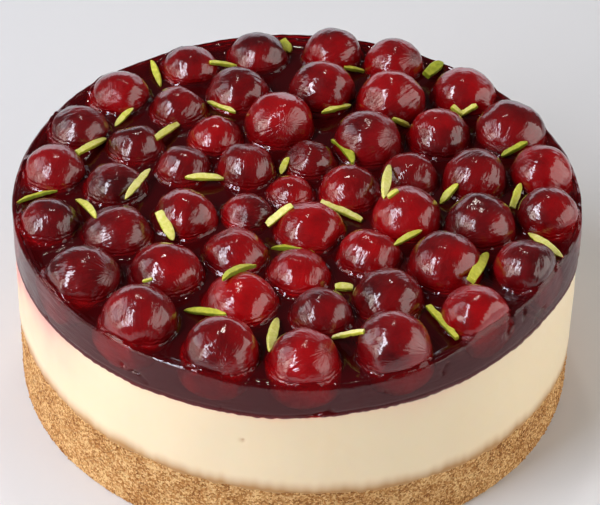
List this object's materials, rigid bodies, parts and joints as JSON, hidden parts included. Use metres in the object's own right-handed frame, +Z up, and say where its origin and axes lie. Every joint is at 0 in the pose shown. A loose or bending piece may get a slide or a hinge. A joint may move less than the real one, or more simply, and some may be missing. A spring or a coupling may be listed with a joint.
{
  "type": "cherry cake",
  "caption": "Round chilled cake with a pressed biscuit base, a pale cream layer and a dark red jelly top set with whole cherries.",
  "frame": {"origin": "middle of the flat underside, on the surface that the cake stands on", "axes": "+Z up; +Y away from the viewer of the picture, +X to the viewer's right"},
  "size_m": [0.2, 0.2, 0.0859],
  "materials": {
    "biscuit_crumb": "coarse golden-brown pressed crumb, matt",
    "set_cream": "smooth pale cream, satin",
    "cherry_jelly": "clear dark red jelly, wet gloss",
    "cherry_skin": "deep red glazed cherry, wet gloss"
  },
  "bodies": {
    "root": {"biscuit_base": "biscuit_crumb", "cream_layer": "set_cream", "cherry_jelly": "cherry_jelly", "cherry_01": "cherry_skin", "cherry_02": "cherry_skin", "cherry_03": "cherry_skin", "cherry_04": "cherry_skin", "cherry_05": "cherry_skin", "cherry_06": "cherry_skin", "cherry_07": "cherry_skin", "cherry_08": "cherry_skin", "cherry_09": "cherry_skin", "cherry_10": "cherry_skin", "cherry_11": "cherry_skin", "cherry_12": "cherry_skin", "cherry_13": "cherry_skin", "cherry_14": "cherry_skin", "cherry_15": "cherry_skin", "cherry_16": "cherry_skin", "cherry_17": "cherry_skin", "cherry_18": "cherry_skin", "cherry_19": "cherry_skin", "cherry_20": "cherry_skin", "cherry_21": "cherry_skin", "cherry_22": "cherry_skin", "cherry_23": "cherry_skin", "cherry_24": "cherry_skin", "cherry_25": "cherry_skin", "cherry_26": "cherry_skin", "cherry_27": "cherry_skin", "cherry_28": "cherry_skin", "cherry_29": "cherry_skin", "cherry_30": "cherry_skin", "cherry_31": "cherry_skin", "cherry_32": "cherry_skin", "cherry_33": "cherry_skin", "cherry_34": "cherry_skin", "cherry_35": "cherry_skin", "cherry_36": "cherry_skin", "cherry_37": "cherry_skin", "cherry_38": "cherry_skin", "cherry_39": "cherry_skin", "cherry_40": "cherry_skin", "cherry_41": "cherry_skin", "cherry_42": "cherry_skin", "cherry_43": "cherry_skin", "cherry_44": "cherry_skin", "cherry_45": "cherry_skin", "cherry_46": "cherry_skin", "cherry_47": "cherry_skin", "cherry_48": "cherry_skin", "cherry_49": "cherry_skin", "cherry_50": "cherry_skin"}
  },
  "joints": []
}
